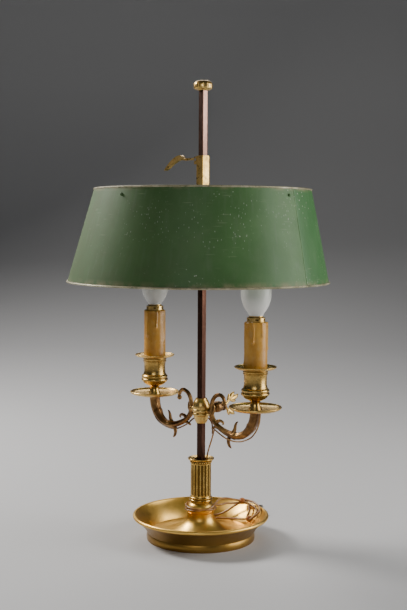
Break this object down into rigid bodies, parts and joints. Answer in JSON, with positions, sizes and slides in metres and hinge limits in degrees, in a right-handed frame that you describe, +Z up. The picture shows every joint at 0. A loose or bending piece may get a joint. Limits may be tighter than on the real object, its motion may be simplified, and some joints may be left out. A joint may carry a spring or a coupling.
{
  "type": "bouillotte lamp",
  "caption": "Adjustable table lamp: dished base, fluted column, square rod, sliding candelabra with scroll arms and candle bulbs, clamp key, and a sliding sheet-metal shade with catch lever.",
  "frame": {"origin": "on the table under the rod's axis, at the middle of the foot", "axes": "+Z up along the rod, +X along the right arm, +Y along the clamp key"},
  "size_m": [0.3123, 0.3124, 0.5472],
  "materials": {
    "aged_brass": "aged gilt brass, worn highlights",
    "arm_brass": "dark brown patinated brass",
    "rod_steel": "dark red-brown patina on brass bar",
    "steel": "dull steel",
    "flex": "golden brown thin flex",
    "tie": "brown tie",
    "candle": "waxy ochre",
    "bulb_glass": "frosted",
    "porcelain": "glazed insulator",
    "filament": "wire",
    "green_paint": "worn green paint on sheet metal",
    "gilt_rim": "worn gilt line",
    "plug_plastic": "brown moulded plug"
  },
  "bodies": {
    "stand": {"base_dish": "aged_brass", "column": "aged_brass", "pearl_ring": "aged_brass", "column_flange": "aged_brass", "cord_bush": "aged_brass", "square_rod": "rod_steel", "rod_washer": "steel", "rod_nut": "steel", "finial": "aged_brass", "column_wire": "flex", "cord_wraps": "flex", "cord_exit": "flex", "cord_strand_upper": "flex", "cord_strand_lower": "flex", "cord_hank": "flex", "cord_tail": "flex", "cord_coil": "flex", "coil_tie": "tie", "cord_knots": "flex", "plug_body": "plug_plastic", "plug_pins": "steel", "plug_lead": "flex"},
    "candelabra": {"knop": "aged_brass", "arm_left": "arm_brass", "drip_pan_left": "aged_brass", "candle_cup_left": "aged_brass", "upper_pan_left": "aged_brass", "candle_tube_left": "candle", "nipple_left": "aged_brass", "lampholder_left": "aged_brass", "holder_insulator_left": "porcelain", "bulb_cap_left": "aged_brass", "bulb_glass_left": "bulb_glass", "filament_stem_left": "filament", "arm_wire_left": "flex", "arm_right": "arm_brass", "drip_pan_right": "aged_brass", "candle_cup_right": "aged_brass", "upper_pan_right": "aged_brass", "candle_tube_right": "candle", "nipple_right": "aged_brass", "lampholder_right": "aged_brass", "holder_insulator_right": "porcelain", "bulb_cap_right": "aged_brass", "bulb_glass_right": "bulb_glass", "filament_stem_right": "filament", "arm_wire_right": "flex", "arm_flex": "flex"},
    "key": {"clamp_screw": "steel", "key_boss": "aged_brass", "key_wing": "aged_brass"},
    "shade": {"shade_sleeve": "aged_brass", "spider": "aged_brass", "shade_body": "green_paint", "shade_top_rim": "gilt_rim", "shade_bottom_rim": "gilt_rim", "shade_rivets": "gilt_rim", "lever_pin": "steel", "lever_spring": "steel"},
    "lever": {"catch_lever": "aged_brass"}
  },
  "joints": [
    {"name": "candelabra_slide", "type": "slide", "parent": "stand", "child": "candelabra", "axis": [0, 0, 1], "range_m": [-0.029, 0.022], "deforming": ["arm_flex"]},
    {"name": "key_turn", "type": "hinge", "parent": "candelabra", "child": "key", "pos_m": [0, 0, 0.1564], "axis": [0, 1, 0], "range_deg": [0, 270]},
    {"name": "shade_slide", "type": "slide", "parent": "stand", "child": "shade", "axis": [0, 0, 1], "range_m": [-0.03, 0.074]},
    {"name": "lever_press", "type": "hinge", "parent": "shade", "child": "lever", "pos_m": [-0.0084, 0, 0.455], "axis": [0, 1, 0], "range_deg": [-12, 0], "stiffness_Nm_per_rad": 0.05, "springref_deg": 11.46}
  ]
}
